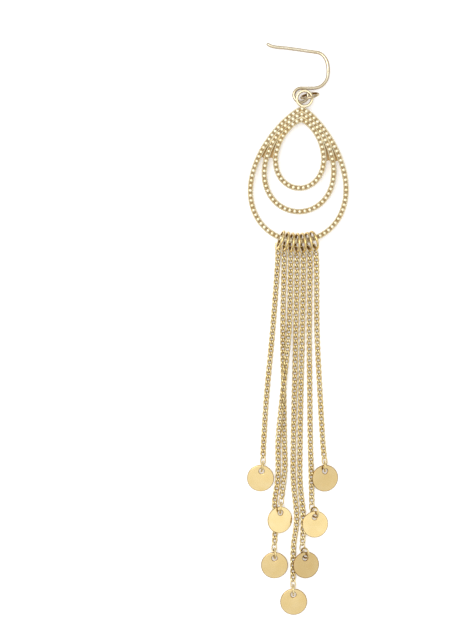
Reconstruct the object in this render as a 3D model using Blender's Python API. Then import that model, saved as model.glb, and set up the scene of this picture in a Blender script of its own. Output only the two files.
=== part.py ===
"""A long fringe earring of gold-coloured metal, lying on its back on a flat surface.

+Y points from the discs to the ear wire, +X to the right and +Z up, away from the surface.
The layout is worked out from the lowest point of the outer teardrop loop, and the finished
earring is then moved so that the origin is at the bottom centre of its bounding box.
"""

import math

import bmesh
import bpy
import numpy as np
from mathutils import Matrix, Vector

MM = 0.001
GAP = 0.3 * MM              # clear space between pieces that are not soldered

# Ear wire
HOOK_WIRE = 0.7 * MM        # diameter of the round wire
EYE_RADIUS = 1.57 * MM      # centreline of the eye
EYE_TURN = 285.0            # degrees that the eye is bent through
HOOK_BACK_SLOPE = 5.5       # degrees that the ear wire tips, with its eye up on the link ring
EYE_HEIGHT = 1.38 * MM      # centreline of the eye above the surface, at its middle
EYE_BEARING = 133.7         # degrees round from +X to the eye, seen from the middle of the top ring
EYE_OVERLAP = 1.47 * MM     # the eye's hole and the top ring's hole share this width, for the link ring
HOOK_CROWN = 8              # which of the bends is the furthest one round the top of the ear

# Teardrop frame
OUTER_LOOP = (21.2 * MM, 29.3 * MM, 0.61)    # centreline width, height, and how pointed it is
MIDDLE_LOOP = (15.4 * MM, 21.6 * MM, 0.50)
INNER_LOOP = (10.7 * MM, 15.2 * MM, 0.40)
LOOP_TIP_STEP = 1.19 * MM   # from one loop's tip to the next, along the frame's axis
LOOP_DROP = 0.03 * MM       # each loop lies a hair lower than the one outside it
STRIP_WIDE = 1.27 * MM      # beaded strip, across both rails
STRIP_BASE = 0.62 * MM      # its solid back, up to the floor that the beads stand on
STRIP_STEP = 2.0 * MM       # between the strip's sections, along each loop
RAIL_WIDE = 0.30 * MM
RAIL_RISE = 0.20 * MM       # rails above the floor
BEAD_PITCH = 1.12 * MM
BEAD_ACROSS = 0.92 * MM
BEAD_RISE = 0.42 * MM       # beads above the floor
BEAD_SIDES = 10
BEAD_BANDS = 4              # from pole to pole; the lower half is inside the strip
SOLDER_INSET = 0.10 * MM    # solder lies this far inside the strip, back and front
SOLDER_REACH = 11.6 * MM    # how far down from the outer tip the loops are soldered together
TOP_RING_RADIUS = 1.69 * MM # centreline of the plain ring on the tip
TOP_RING_WIRE = 0.65 * MM
TOP_RING_OFFSET = 0.42 * MM # it is soldered a little to the right of the frame's axis
TOP_RING_SINK = 0.35 * MM   # how far its wire reaches into the strip at the tip
FRAME_TURN = -2.7           # degrees that the frame lies turned, tip to the right
FRAME_BOTTOM_HEIGHT = 1.95 * MM   # middle of the strip above the surface, at the chain rings
FRAME_TIP_HEIGHT = 2.45 * MM      # and at the tip

# Link ring between the eye and the frame
LINK_RING_RADIUS = 1.9 * MM
LINK_RING_WIRE = 0.6 * MM
LINK_RING_LEAN = 15.0       # degrees that it leans from upright
LINK_RING_TURN = 12.0       # degrees from the X axis
LINK_RING_SHIFT = (-0.29 * MM, -0.18 * MM)   # of its wire from the middle of the shared hole, along and across

# Rings that carry the chains
STRANDS = 7
CHAIN_RING_RADIUS = 2.02 * MM
CHAIN_RING_WIRE = 0.6 * MM
CHAIN_RING_SPACE = 0.6 * MM       # between neighbours, along the loop
CHAIN_RING_DROP = 0.4 * MM        # their middles lie this far below the strip's middle
CHAIN_RING_LEAN = 13.0            # degrees that the middle ring leans to the right
CHAIN_RING_FAN = 1.5              # degrees more for each ring to the right of it, and less to the left
CLUSTER_SHIFT = 0.35 * MM         # the cluster sits a little to the right of the frame's axis

# Chains
CHAIN_WIDE = 1.1 * MM
CHAIN_POINT_STEP = 3.0      # points along a chain, in chain widths

# Discs and the small rings that hold them
DISC_RADIUS = 3.0 * MM
DISC_THICK = 0.35 * MM
DISC_SIDES = 24
HOLE_RADIUS = 0.6 * MM
HOLE_INSET = 1.4 * MM       # from the rim to the middle of the hole
DISC_RING_RADIUS = 1.15 * MM
DISC_RING_WIRE = 0.4 * MM
DISC_RING_RISE = 10.0       # degrees that the ring's middle stands above the disc's face

HOOK_POINT_STEP = 1.6       # points along the ear wire, in wire diameters
WIRE_BANDS = 2              # bevel resolution of every swept wire
RING_SIDES = 6              # sides of a ring's wire
RING_SEGMENTS = 14          # round a chain ring, the link ring or the top ring
SMALL_RING_SEGMENTS = 12    # round a disc ring
HOLE_SIDES = 10

# Bends of the ear wire in millimetres from the top of its eye, tip of the tail first
HOOK_BENDS = [
    (-7.60, 9.99), (-6.58, 9.43), (-5.38, 9.19), (-2.98, 8.96), (0.04, 8.54), (3.04, 8.12), (4.00, 7.96),
    (4.98, 7.34), (5.69, 6.25), (6.00, 5.03), (6.07, 3.59), (5.82, 2.14), (5.09, 1.00), (4.13, 0.30),
    (3.02, 0.02), (1.84, 0.0), (0.89, 0.0),
]

# Where each disc lies, in millimetres from the bottom of the outer loop:
# x, y, turn of the hole from straight up, pitch with the hole side up, roll with the left side up,
# and roll of its small ring, all in degrees
DISC_PLACES = {
    1: (-7.83, -52.64, 8.5, 10.0, 0.0, 0.0),
    2: (-3.55, -61.86, 2.0, 5.0, 24.0, -24.0),
    3: (-4.73, -71.97, 0.0, 10.0, 0.0, 8.0),
    4: (-0.47, -80.08, -2.3, 10.0, 0.0, 0.0),
    5: (2.27, -71.90, -9.5, 8.0, 14.0, 28.0),
    6: (4.29, -62.86, -6.3, 8.0, 15.0, 28.0),
    7: (6.49, -52.64, -3.1, 8.0, 14.0, -14.0),
}

# Points that each chain passes between its two rings, in millimetres from the bottom of the outer
# loop; the third value is 1 where it lies on top of another chain, and its end lies as high as the last
CHAIN_ROUTES = {
    1: [(-4.02, -4.6, 0), (-5.13, -19.75, 0), (-6.47, -34.2, 0), (-7.11, -44.2, 0)],
    2: [(-2.57, -4.6, 0), (-2.87, -19.75, 0), (-2.69, -31.97, 0), (-2.53, -44.2, 0), (-2.42, -50.0, 0.1),
        (-2.82, -54.5, 0.5)],
    3: [(-1.13, -4.6, 0), (-1.30, -14.5, 0), (-1.47, -19.0, 0.3), (-1.80, -23.5, 0.85), (-2.71, -31.97, 1),
        (-3.62, -40.5, 0.85), (-3.93, -45.0, 0.3), (-3.90, -50.0, 0), (-4.02, -53.5, 0), (-4.66, -57.6, 0),
        (-4.65, -61.5, 0), (-4.60, -65.0, 0)],
    4: [(0.29, -4.6, 0), (0.04, -19.75, 0), (-0.24, -31.97, 0), (-0.51, -44.2, 0), (-0.53, -53.0, 0),
        (0.11, -59.5, 0), (0.16, -62.8, 0), (-0.47, -67.5, 0), (-0.60, -72.2, 0)],
    5: [(1.72, -4.6, 0), (1.47, -19.75, 0), (1.16, -31.97, 0), (0.96, -44.2, 0), (0.93, -53.0, 0),
        (1.55, -59.5, 0), (1.68, -63.0, 0)],
    6: [(3.15, -4.6, 0), (3.00, -19.75, 0), (3.09, -31.97, 0), (3.24, -44.2, 0), (3.45, -52.6, 0)],
    7: [(4.60, -4.6, 0), (4.72, -19.75, 0), (5.4, -34.2, 0), (5.98, -44.2, 0)],
}


def clear_scene():
    for obj in list(bpy.data.objects):
        bpy.data.objects.remove(obj, do_unlink=True)


def metal(name, colour, roughness):
    """A Principled material for one kind of gold-coloured metal."""
    material = bpy.data.materials.new(name)
    material.use_nodes = True
    shader = material.node_tree.nodes["Principled BSDF"]
    shader.inputs["Base Color"].default_value = (*colour, 1.0)
    shader.inputs["Metallic"].default_value = 1.0
    shader.inputs["Roughness"].default_value = roughness
    return material


def add_object(name, data, material):
    obj = bpy.data.objects.new(name, data)
    bpy.context.scene.collection.objects.link(obj)
    data.materials.append(material)
    return obj


def finish_mesh(bm, name):
    """Turn a bmesh into a smooth-shaded mesh with its faces pointing out."""
    bmesh.ops.recalc_face_normals(bm, faces=bm.faces)
    mesh = bpy.data.meshes.new(name)
    bm.to_mesh(mesh)
    bm.free()
    mesh.shade_smooth()
    mesh.set_sharp_from_angle(angle=math.radians(40))
    return mesh


def smooth_route(points, step):
    """Points spaced evenly, about step apart, along a smooth curve through the given points."""
    points = np.array(points, dtype=float)
    ends = np.vstack([2 * points[0] - points[1], points, 2 * points[-1] - points[-2]])
    fine = []
    for before, start, end, after in zip(ends, ends[1:], ends[2:], ends[3:]):
        for t in np.linspace(0, 1, 24, endpoint=False):
            fine.append(0.5 * (2 * start + (end - before) * t
                               + (2 * before - 5 * start + 4 * end - after) * t ** 2
                               + (3 * start - before - 3 * end + after) * t ** 3))
    fine.append(points[-1])
    return even_points(np.array(fine), step)


def even_points(fine, step):
    """Points spaced evenly, about step apart, along a finely drawn line."""
    along = np.concatenate([[0], np.cumsum(np.linalg.norm(np.diff(fine, axis=0), axis=1))])
    stops = np.linspace(0, along[-1], max(2, round(along[-1] / step)) + 1)
    return np.column_stack([np.interp(stops, along, fine[:, axis]) for axis in range(3)])


def swept_wire(name, points, diameter, material):
    """A round wire of the given diameter along the points, closed at both ends."""
    curve = bpy.data.curves.new(name, "CURVE")
    curve.dimensions = "3D"
    curve.bevel_depth = diameter / 2
    curve.bevel_resolution = WIRE_BANDS
    curve.use_fill_caps = True
    spline = curve.splines.new("POLY")
    spline.points.add(len(points) - 1)
    for target, point in zip(spline.points, points):
        target.co = (*point, 1.0)
    spline.use_smooth = True
    return add_object(name, curve, material)


def ring_mesh(name, radius, wire, segments):
    """A plain wire ring in the XY plane, spun from a small circle."""
    bm = bmesh.new()
    profile = bmesh.ops.create_circle(bm, segments=RING_SIDES, radius=wire / 2)["verts"]
    bmesh.ops.rotate(bm, verts=profile, matrix=Matrix.Rotation(math.pi / 2, 3, "X"))
    bmesh.ops.translate(bm, verts=profile, vec=(radius, 0, 0))
    bmesh.ops.spin(bm, geom=bm.verts[:] + bm.edges[:], cent=(0, 0, 0), axis=(0, 0, 1),
                   angle=math.tau, steps=segments, use_merge=True)
    return finish_mesh(bm, name)


def ring(name, radius, wire, segments, place, material):
    """A plain wire ring whose own plane is XY, put in place by a matrix."""
    mesh = ring_mesh(name, radius, wire, segments)
    mesh.transform(place)
    return add_object(name, mesh, material)


def axes_matrix(origin, x_axis, y_axis):
    """A matrix whose X and Y axes point along two given unit vectors at right angles."""
    z_axis = x_axis.cross(y_axis)
    place = Matrix((x_axis, y_axis, z_axis)).transposed().to_4x4()
    place.translation = origin
    return place


def frame_place():
    """Puts the flat frame, drawn with its bottom at the origin, where it lies."""
    slope = math.asin((FRAME_TIP_HEIGHT - FRAME_BOTTOM_HEIGHT) / OUTER_LOOP[1])
    return (Matrix.Translation((0, 0, FRAME_BOTTOM_HEIGHT)) @ Matrix.Rotation(math.radians(FRAME_TURN), 4, "Z")
            @ Matrix.Rotation(slope, 4, "X"))


def teardrop(loop, tip_y):
    """A fine line round one loop's centreline, from its tip down the right side and back up."""
    wide, high, pointed = loop
    turn = np.linspace(0, 2 * math.pi, 721)
    across = np.sin(turn) * np.sin(turn / 2) ** pointed
    x = across * wide / 2 / across.max()
    y = tip_y - high / 2 * (1 - np.cos(turn))
    return np.column_stack([x, y, np.zeros_like(x)])


def loop_lines():
    """The three loops' fine centrelines, outer one first."""
    tip = OUTER_LOOP[1]
    return [teardrop(OUTER_LOOP, tip), teardrop(MIDDLE_LOOP, tip - LOOP_TIP_STEP),
            teardrop(INNER_LOOP, tip - 2 * LOOP_TIP_STEP)]


def strip_section():
    """Outline of the beaded strip without its beads: across the strip and above its middle."""
    back = -(STRIP_BASE + BEAD_RISE) / 2
    floor = back + STRIP_BASE
    half = STRIP_WIDE / 2
    edge = RAIL_WIDE / 3
    return [(-half + edge, back), (half - edge, back), (half, floor), (half - RAIL_WIDE / 2, floor + RAIL_RISE),
            (half - RAIL_WIDE, floor), (-half + RAIL_WIDE, floor), (-half + RAIL_WIDE / 2, floor + RAIL_RISE),
            (-half, floor)]


def strip_loop(line, lower):
    """The strip swept once round a closed line, with mitred corners."""
    stops = even_points(line, STRIP_STEP)[:-1]
    before = stops - np.roll(stops, 1, axis=0)
    after = np.roll(stops, -1, axis=0) - stops
    before /= np.linalg.norm(before, axis=1)[:, None]
    after /= np.linalg.norm(after, axis=1)[:, None]
    along = before + after
    along /= np.linalg.norm(along, axis=1)[:, None]
    mitre = 1 / np.sum(along * after, axis=1)
    bm = bmesh.new()
    sections = []
    for stop, heading, stretch in zip(stops, along, mitre):
        side = np.array([heading[1], -heading[0], 0])
        sections.append([bm.verts.new(stop + side * across * stretch + (0, 0, up - lower))
                         for across, up in strip_section()])
    for near, far in zip(sections, sections[1:] + sections[:1]):
        for i in range(len(near)):
            j = (i + 1) % len(near)
            bm.faces.new((near[i], near[j], far[j], far[i]))
    return finish_mesh(bm, "strip")


def half_width(line, height):
    """How far from the axis a loop's centreline runs at a given height, above its widest place."""
    right = line[:np.argmax(line[:, 0]) + 1]
    return np.interp(-height, -right[:, 1], right[:, 0])


def solder_web(outer, inner):
    """A thin plate of solder that fills the loops' gaps from the tip down to where they part."""
    end = outer[0][1] - SOLDER_REACH
    shares = np.linspace(0, 1, 9)
    rows = []
    for share in shares:
        outer_y = outer[0][1] + (end - outer[0][1]) * share
        inner_y = inner[0][1] + (end - inner[0][1]) * share
        rows.append((half_width(outer, outer_y), outer_y, half_width(inner, inner_y), inner_y))
    band = [(-ox, oy, -ix, iy) for ox, oy, ix, iy in rows[:0:-1]] + rows
    back = -(STRIP_BASE + BEAD_RISE) / 2 + SOLDER_INSET
    bm = bmesh.new()
    pairs = [(bm.verts.new((ox, oy, back)), bm.verts.new((ix, iy, back))) for ox, oy, ix, iy in band]
    faces = [bm.faces.new((a[0], b[0], b[1], a[1])) for a, b in zip(pairs, pairs[1:])]
    grown = bmesh.ops.extrude_face_region(bm, geom=faces)["geom"]
    bmesh.ops.translate(bm, verts=[part for part in grown if isinstance(part, bmesh.types.BMVert)],
                        vec=(0, 0, STRIP_BASE - 2 * SOLDER_INSET))
    return finish_mesh(bm, "solder")


def bead_row(line, lower):
    """Small domes along one loop, as one mesh of separate round beads."""
    floor = (STRIP_BASE - BEAD_RISE) / 2 - lower
    squash = Matrix.Diagonal((1, 1, 2 * BEAD_RISE / BEAD_ACROSS, 1))
    bm = bmesh.new()
    for stop in even_points(line, BEAD_PITCH)[:-1]:
        bmesh.ops.create_uvsphere(bm, u_segments=BEAD_SIDES, v_segments=BEAD_BANDS, radius=BEAD_ACROSS / 2,
                                  matrix=Matrix.Translation((stop[0], stop[1], floor)) @ squash)
    return finish_mesh(bm, "beads")


def union(name, meshes, material):
    """One solid made of several overlapping ones."""
    base = add_object(name, meshes[0], material)
    tools = []
    for mesh in meshes[1:]:
        tool = add_object(name + "_part", mesh, material)
        tool.hide_render = True
        tool.display_type = "WIRE"
        tools.append(tool)
        join = base.modifiers.new("join", "BOOLEAN")
        join.operation = "UNION"
        join.solver = "EXACT"
        join.object = tool
    bpy.context.view_layer.update()
    joined = bpy.data.meshes.new_from_object(base.evaluated_get(bpy.context.evaluated_depsgraph_get()))
    for obj in [base] + tools:
        bpy.data.objects.remove(obj, do_unlink=True)
    bm = bmesh.new()
    bm.from_mesh(joined)
    bmesh.ops.remove_doubles(bm, verts=bm.verts, dist=0.002 * MM)
    bmesh.ops.dissolve_degenerate(bm, edges=bm.edges, dist=0.001 * MM)
    bmesh.ops.triangulate(bm, faces=bm.faces)
    mesh = finish_mesh(bm, name)
    mesh.materials.clear()
    return add_object(name, mesh, material)


def top_ring_height():
    """Middle of the top ring above the lowest point of the outer loop's centreline."""
    return OUTER_LOOP[1] + STRIP_WIDE / 2 - TOP_RING_SINK + TOP_RING_WIRE / 2 + TOP_RING_RADIUS


def make_frame(material):
    """Three beaded loops, the solder between them and the plain ring on the tip, as one solid."""
    lines = loop_lines()
    solids = [strip_loop(line, i * LOOP_DROP) for i, line in enumerate(lines)]
    solids.append(solder_web(lines[0], lines[-1]))
    top_ring = ring_mesh("top_ring", TOP_RING_RADIUS, TOP_RING_WIRE, RING_SEGMENTS)
    top_ring.transform(Matrix.Translation((TOP_RING_OFFSET, top_ring_height(), 0)))
    solids.append(top_ring)
    solids += [bead_row(line, i * LOOP_DROP) for i, line in enumerate(lines)]
    frame = union("teardrop_frame", solids, material)
    frame.data.transform(frame_place())
    return frame


def top_ring_middle():
    return frame_place() @ Vector((TOP_RING_OFFSET, top_ring_height(), 0))


def eye_places():
    """Middle of the ear wire's eye, and the middle of the opening that it shares with the top ring."""
    bearing = math.radians(EYE_BEARING)
    towards_eye = Vector((math.cos(bearing), math.sin(bearing), 0))
    top_hole = TOP_RING_RADIUS - TOP_RING_WIRE / 2
    eye_hole = EYE_RADIUS - HOOK_WIRE / 2
    middle = top_ring_middle()
    eye = middle + towards_eye * (top_hole + eye_hole - EYE_OVERLAP)
    shared = middle + towards_eye * (top_hole - EYE_OVERLAP / 2)
    eye.z = EYE_HEIGHT
    return eye, shared


def make_hook(material):
    """The ear wire, lying on its side and tipped up a little towards its eye."""
    eye = [(-EYE_RADIUS * math.sin(turn), EYE_RADIUS * (math.cos(turn) - 1))
           for turn in np.radians(np.linspace(0, EYE_TURN, 24))]
    bends = [(x * MM, y * MM) for x, y in HOOK_BENDS]
    points = np.array([(x, y, 0) for x, y in bends + eye])
    line = smooth_route(points, HOOK_WIRE * HOOK_POINT_STEP)
    tail, crown = Vector((*bends[0], 0)), Vector((*bends[HOOK_CROWN], 0))
    tip_axis = (crown - tail).normalized()
    place = (Matrix.Translation(eye_places()[0]) @ Matrix.Rotation(-math.radians(HOOK_BACK_SLOPE), 4, tip_axis)
             @ Matrix.Translation((0, EYE_RADIUS, 0)))
    return swept_wire("ear_hook", [place @ Vector(point) for point in line], HOOK_WIRE, material)


def make_link_ring(material):
    """The ring that joins the eye to the frame's top ring, leaning on its edge through both."""
    turn, lean = math.radians(LINK_RING_TURN), math.radians(LINK_RING_LEAN)
    along = Vector((math.cos(turn), math.sin(turn), 0))
    across = Vector((-math.sin(turn), math.cos(turn), 0))
    upward = Vector((0, 0, math.cos(lean))) - across * math.sin(lean)
    height = LINK_RING_RADIUS * math.cos(lean) + LINK_RING_WIRE / 2
    shared = eye_places()[1]
    middle = (Vector((shared.x, shared.y, height)) + along * (LINK_RING_RADIUS + LINK_RING_SHIFT[0])
              + across * LINK_RING_SHIFT[1])
    return ring("link_ring", LINK_RING_RADIUS, LINK_RING_WIRE, RING_SEGMENTS, axes_matrix(middle, along, upward),
                material)


def chain_ring_places():
    """For each chain ring, a matrix with its X axis along the loop's strip outwards and its Y axis up."""
    line = loop_lines()[0]
    along = np.concatenate([[0], np.cumsum(np.linalg.norm(np.diff(line, axis=0), axis=1))])
    lowest = along[len(line) // 2] - CLUSTER_SHIFT
    pitch = CHAIN_RING_WIRE + CHAIN_RING_SPACE
    places = []
    for number in range(1, STRANDS + 1):
        out = number - (STRANDS + 1) / 2
        stop = lowest - out * pitch
        before, here, after = (frame_place() @ Vector([np.interp(place, along, line[:, axis]) for axis in range(3)])
                               for place in (stop - CHAIN_RING_WIRE / 2, stop, stop + CHAIN_RING_WIRE / 2))
        heading = (before - after).to_3d()
        heading.z = 0
        heading.normalize()
        outward = Vector((heading.y, -heading.x, 0))
        lean = math.radians(CHAIN_RING_LEAN + CHAIN_RING_FAN * out)
        upward = Vector((0, 0, math.cos(lean))) + heading * math.sin(lean)
        height = CHAIN_RING_RADIUS * math.cos(lean) + CHAIN_RING_WIRE / 2
        middle = Vector((here.x, here.y, height)) + outward * CHAIN_RING_DROP
        places.append(axes_matrix(middle, outward, upward))
    return places


def disc_place(number):
    """Puts a disc, drawn flat with its hole towards +Y, where it lies, its lowest edge on the surface."""
    x, y, turn, pitch, roll, _ = DISC_PLACES[number]
    turned = (Matrix.Rotation(-math.radians(turn), 4, "Z") @ Matrix.Rotation(math.radians(roll), 4, "Y")
              @ Matrix.Rotation(math.radians(pitch), 4, "X"))
    level = turned.to_3x3()[2]
    height = DISC_RADIUS * math.hypot(level[0], level[1]) + DISC_THICK / 2 * abs(level[2])
    return Matrix.Translation((x * MM, y * MM, height)) @ turned


def disc_ring_place(number):
    """Puts a small ring through the middle of its disc's hole, with its X axis towards the chain."""
    roll = math.radians(DISC_PLACES[number][5])
    rise = math.radians(DISC_RING_RISE)
    hole = Vector((0, DISC_RADIUS - HOLE_INSET, 0))
    outward = Vector((0, 1, 0))
    upward = Vector((math.sin(roll), 0, math.cos(roll)))
    middle = hole + (outward * math.cos(rise) + upward * math.sin(rise)) * DISC_RING_RADIUS
    return disc_place(number) @ axes_matrix(middle, outward, upward)


def make_disc(number, material):
    """A plain round disc with one small hole near its rim."""
    bm = bmesh.new()
    rim = bmesh.ops.create_circle(bm, segments=DISC_SIDES, radius=DISC_RADIUS)["verts"]
    hole = bmesh.ops.create_circle(bm, segments=HOLE_SIDES, radius=HOLE_RADIUS,
                                   matrix=Matrix.Translation((0, DISC_RADIUS - HOLE_INSET, 0)))["verts"]
    bmesh.ops.triangle_fill(bm, use_beauty=True, edges=bm.edges[:])
    bmesh.ops.translate(bm, verts=rim + hole, vec=(0, 0, -DISC_THICK / 2))
    grown = bmesh.ops.extrude_face_region(bm, geom=bm.faces[:])["geom"]
    bmesh.ops.translate(bm, verts=[part for part in grown if isinstance(part, bmesh.types.BMVert)],
                        vec=(0, 0, DISC_THICK))
    mesh = finish_mesh(bm, f"disc_{number}")
    mesh.transform(disc_place(number))
    return add_object(f"disc_{number}", mesh, material)


def make_chain(number, top, bottom, material):
    """One chain as a plain tube, from just below its chain ring to just above its disc ring."""
    level = CHAIN_WIDE / 2
    below = top.to_3x3() @ Vector((1, 0, 0))
    upward = top.to_3x3() @ Vector((0, 1, 0))
    outer = CHAIN_RING_RADIUS + CHAIN_RING_WIRE / 2
    start = (top.translation + upward * (level - top.translation.z) / upward.z
             + below * (math.sqrt(outer ** 2 - (outer - CHAIN_WIDE) ** 2) + GAP))
    towards = bottom.to_3x3() @ Vector((1, 0, 0))
    towards.z = 0
    towards.normalize()
    end = bottom.translation + towards * (DISC_RING_RADIUS + DISC_RING_WIRE / 2 + GAP)
    middle = [(x * MM, y * MM, level + on_top * (CHAIN_WIDE + GAP)) for x, y, on_top in CHAIN_ROUTES[number]]
    points = [(start.x, start.y, level)] + middle + [(end.x, end.y, middle[-1][2])]
    line = smooth_route(points, CHAIN_WIDE * CHAIN_POINT_STEP)
    line[:, 2] = np.maximum(line[:, 2], level)
    return swept_wire(f"chain_{number}", line, CHAIN_WIDE, material)


def centre_on_box():
    """Moves every piece so that the origin is at the bottom centre of the whole earring's box."""
    bpy.context.view_layer.update()
    depsgraph = bpy.context.evaluated_depsgraph_get()
    corners = []
    for obj in bpy.data.objects:
        mesh = obj.evaluated_get(depsgraph).to_mesh()
        corners += [obj.matrix_world @ vertex.co for vertex in mesh.vertices]
        obj.evaluated_get(depsgraph).to_mesh_clear()
    low = Vector([min(corner[axis] for corner in corners) for axis in range(3)])
    high = Vector([max(corner[axis] for corner in corners) for axis in range(3)])
    for obj in bpy.data.objects:
        obj.location -= Vector(((low.x + high.x) / 2, (low.y + high.y) / 2, low.z))


def main():
    clear_scene()
    wire_gold = metal("wire_gold", (0.88, 0.76, 0.52), 0.22)
    frame_gold = metal("frame_gold", (0.86, 0.70, 0.38), 0.28)
    chain_gold = metal("chain_gold", (0.80, 0.62, 0.32), 0.30)
    disc_gold = metal("disc_gold", (0.92, 0.78, 0.48), 0.15)
    make_hook(wire_gold)
    make_link_ring(wire_gold)
    make_frame(frame_gold)
    for number, top in enumerate(chain_ring_places(), start=1):
        bottom = disc_ring_place(number)
        ring(f"chain_ring_{number}", CHAIN_RING_RADIUS, CHAIN_RING_WIRE, RING_SEGMENTS, top, chain_gold)
        make_chain(number, top, bottom, chain_gold)
        ring(f"disc_ring_{number}", DISC_RING_RADIUS, DISC_RING_WIRE, SMALL_RING_SEGMENTS, bottom, chain_gold)
        make_disc(number, disc_gold)
    centre_on_box()


main()
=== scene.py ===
"""Looks of a long fringe earring of gold-coloured metal, lying on its back on a pale floor.

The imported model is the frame: +Y points from the discs to the ear wire, +X to the right and +Z up.
Every piece of the earring is made again here with its fine shape, in the place of its solid.
"""

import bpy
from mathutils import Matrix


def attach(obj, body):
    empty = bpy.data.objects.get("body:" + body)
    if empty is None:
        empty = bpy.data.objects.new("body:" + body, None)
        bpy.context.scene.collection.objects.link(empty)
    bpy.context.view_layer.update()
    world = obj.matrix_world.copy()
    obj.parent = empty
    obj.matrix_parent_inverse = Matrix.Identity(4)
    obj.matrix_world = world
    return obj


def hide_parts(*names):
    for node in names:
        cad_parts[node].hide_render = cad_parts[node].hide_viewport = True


bl_info = {
    "name": "Fringe earring",
    "version": (1, 0, 0),
    "blender": (4, 5, 0),
    "location": "3D View > Sidebar > Earring",
    "description": "Fine shapes and gold finishes for a fringe earring, with its stage",
    "category": "Object",
}

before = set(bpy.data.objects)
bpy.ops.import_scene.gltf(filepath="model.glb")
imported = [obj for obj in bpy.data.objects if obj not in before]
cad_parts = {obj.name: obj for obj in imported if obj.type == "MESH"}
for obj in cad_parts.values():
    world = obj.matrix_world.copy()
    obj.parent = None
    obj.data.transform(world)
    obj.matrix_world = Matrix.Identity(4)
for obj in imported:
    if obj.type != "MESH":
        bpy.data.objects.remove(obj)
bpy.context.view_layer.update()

import math
import random

import bmesh
import bpy
import numpy as np
from bpy.props import FloatProperty, FloatVectorProperty, IntProperty, PointerProperty
from mathutils import Matrix, Vector

MM = 0.001
CURVE_STEPS = 24            # points drawn between two given points of a smooth line
BODY = "root"

# Ear wire
HOOK_WIRE = 0.7 * MM        # diameter of the round wire
HOOK_SIDES = 16
HOOK_STEP = 0.22 * MM       # from one section of the wire to the next
TAIL_ROUND = (0.45, 0.3)    # width of the tail's end as a share of the wire, and what each section adds
EYE_RADIUS = 1.57 * MM      # centreline of the eye
EYE_TURN = 285.0            # degrees that the eye is bent through
EYE_STEPS = 24              # points round the eye
HOOK_BACK_SLOPE = 5.5       # degrees that the ear wire tips, with its eye up on the link ring
EYE_HEIGHT = 1.38 * MM      # middle of the eye above the table
EYE_BEARING = 133.7         # degrees round from +X to the eye, seen from the middle of the top ring
EYE_OVERLAP = 1.47 * MM     # the eye's hole and the top ring's hole share this width
HOOK_CROWN = 8              # which of the bends is the furthest one round the top of the ear
CROWN_FLAT = (5.95 * MM, 4.9 * MM, 0)   # middle of the hammered stretch, from the top of the eye
CROWN_REACH = 1.7 * MM      # how far the hammering fades out each way
CROWN_SPREAD = 0.12         # share by which hammering widens the wire
CROWN_PRESS = 0.2           # and by which it thins it
# Points along the wire from its tail to its eye, in millimetres from the top of the eye
HOOK_BENDS = [
    (-7.60, 9.99), (-6.58, 9.43), (-5.38, 9.19), (-2.98, 8.96), (0.04, 8.54), (3.04, 8.12),
    (4.00, 7.96), (4.98, 7.34), (5.69, 6.25), (6.00, 5.03), (6.07, 3.59), (5.82, 2.14),
    (5.09, 1.00), (4.13, 0.30), (3.02, 0.02), (1.84, 0.0), (0.89, 0.0),
]

# Link ring between the eye and the frame
LINK_RING_RADIUS = 1.9 * MM # centreline, as are the other rings' radii
LINK_RING_WIRE = 0.6 * MM
LINK_RING_LEAN = 15.0       # degrees that it leans from upright
LINK_RING_TURN = 12.0       # degrees from +X to the way it points
LINK_RING_SHIFT = (-0.29 * MM, -0.18 * MM)   # along and across that way, from hanging in the shared opening
LINK_RING_SEAM = 60.0       # degrees round the ring to its cut

# Teardrop frame: centreline width, height, and how pointed each loop is
LOOPS = [(21.2 * MM, 29.3 * MM, 0.61), (15.4 * MM, 21.6 * MM, 0.50), (10.7 * MM, 15.2 * MM, 0.40)]
LOOP_POINTS = 1441          # points round each finely drawn loop
LOOP_TIP_STEP = 1.19 * MM   # from the tip of one loop to the tip of the next
LOOP_DROP = 0.03 * MM       # and how much lower the next one lies
STRIP_WIDE = 1.27 * MM
STRIP_BASE = 0.62 * MM      # thickness of the strip under its beads
STRIP_TRIM = 0.035 * MM     # each side is this much slimmer, to stay inside the flat-sided solid
STRIP_STEP = 0.5 * MM       # from one section of the strip to the next
TIP_CORNER = 1.0 * MM       # length each side of the tip that the mitred corner takes up
STRIP_PAINTED_SHADE = 0.5          # painted shade along the strip's sides and outer rails
RAIL_PAINTED_SHADE = 0.75          # painted shade along the inner halves of the rails
RAIL_POINTS = 7             # across the round top of each rail
BEAD_SEGMENTS = (12, 10)    # round each bead, and from pole to pole before its foot is cut off
BEAD_FOOT = 0.05 * MM       # how far the beads reach into the strip
BEAD_FULLNESS = 0.6         # below 1, the domes are fuller than a ball
BEAD_PAINTED_SHADE = 0.68          # painted shade at the foot of a bead
BEAD_SHADE_TOP = 0.75          # share of its height above which a bead has no painted shade
SOLDER_INSET = 0.10 * MM    # below the strip's surface, front and back
SOLDER_REACH = 11.6 * MM    # from the outer tip to where the loops part
SOLDER_ROWS = 33
SOLDER_SINK = 0.22 * MM     # how low the solder lies in the middle of a gap
SOLDER_ARCH = 0.5 * MM      # how far its end curves up between the strips
ARCH_POWER = 12             # the higher, the shorter that curve
SOLDER_PAINTED_SHADE = (0.3, 0.9)  # painted shade on it under the strips, and in the gaps
TOP_RING_RADIUS = 1.69 * MM
TOP_RING_WIRE = 0.65 * MM
TOP_RING_STEPS = 40
TOP_RING_SIDES = 14
TOP_RING_OFFSET = 0.42 * MM # to the right of the tip
TOP_RING_SINK = 0.35 * MM   # into the strip that it is soldered to
FRAME_TURN = -2.7           # degrees that the frame is turned as it lies
FRAME_BOTTOM_HEIGHT = 1.95 * MM
FRAME_TIP_HEIGHT = 2.45 * MM

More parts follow.
